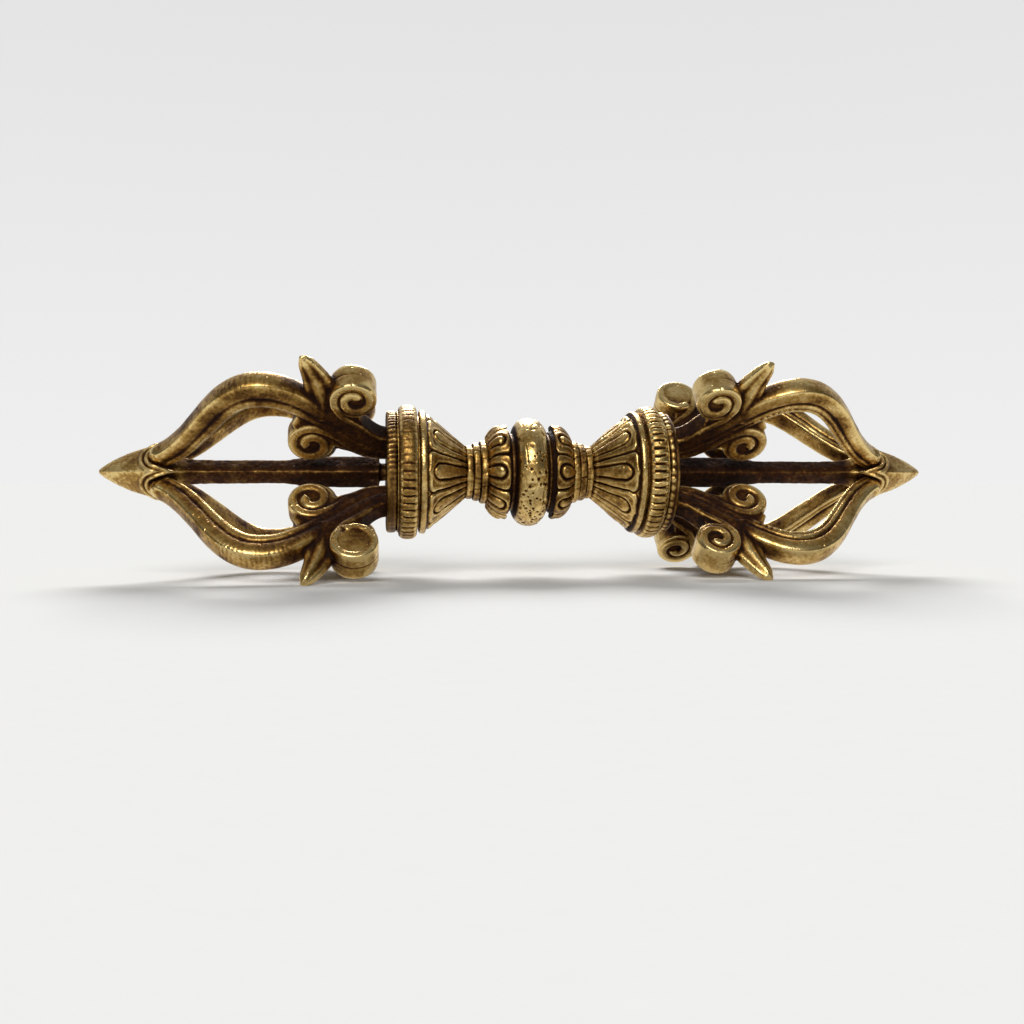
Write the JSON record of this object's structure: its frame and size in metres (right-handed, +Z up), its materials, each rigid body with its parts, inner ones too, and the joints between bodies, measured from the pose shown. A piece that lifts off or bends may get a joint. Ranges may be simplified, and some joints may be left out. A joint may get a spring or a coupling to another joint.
{
  "type": "ritual vajra",
  "caption": "Aged brass ritual vajra: round hub, lotus bells and reeded rims on one axis, with scroll prongs arching round a pointed centre prong at both ends.",
  "frame": {"origin": "middle of the bottom of the object's box: the point on the table below the middle of the hub", "axes": "+X along the long axis towards the right end, +Y away from the viewer, +Z up from the table"},
  "size_m": [0.128, 0.0316, 0.0316],
  "materials": {
    "aged_brass": "worn, polished on the high places and dark brown in the recesses",
    "dark_brass": "dark brown tarnish with a low sheen"
  },
  "bodies": {
    "root": {"hub": "aged_brass", "left_lotus_collar": "aged_brass", "right_lotus_collar": "aged_brass", "left_neck_ring": "aged_brass", "right_neck_ring": "aged_brass", "left_lotus_bell": "aged_brass", "right_lotus_bell": "aged_brass", "left_reeded_rim": "aged_brass", "right_reeded_rim": "aged_brass", "left_prong_seat": "dark_brass", "right_prong_seat": "dark_brass", "left_centre_prong": "dark_brass", "right_centre_prong": "dark_brass", "left_prong_upper_front": "aged_brass", "left_prong_lower_front": "aged_brass", "left_prong_lower_back": "aged_brass", "left_prong_upper_back": "aged_brass", "right_prong_upper_front": "aged_brass", "right_prong_lower_front": "aged_brass", "right_prong_lower_back": "aged_brass", "right_prong_upper_back": "aged_brass"}
  },
  "joints": []
}
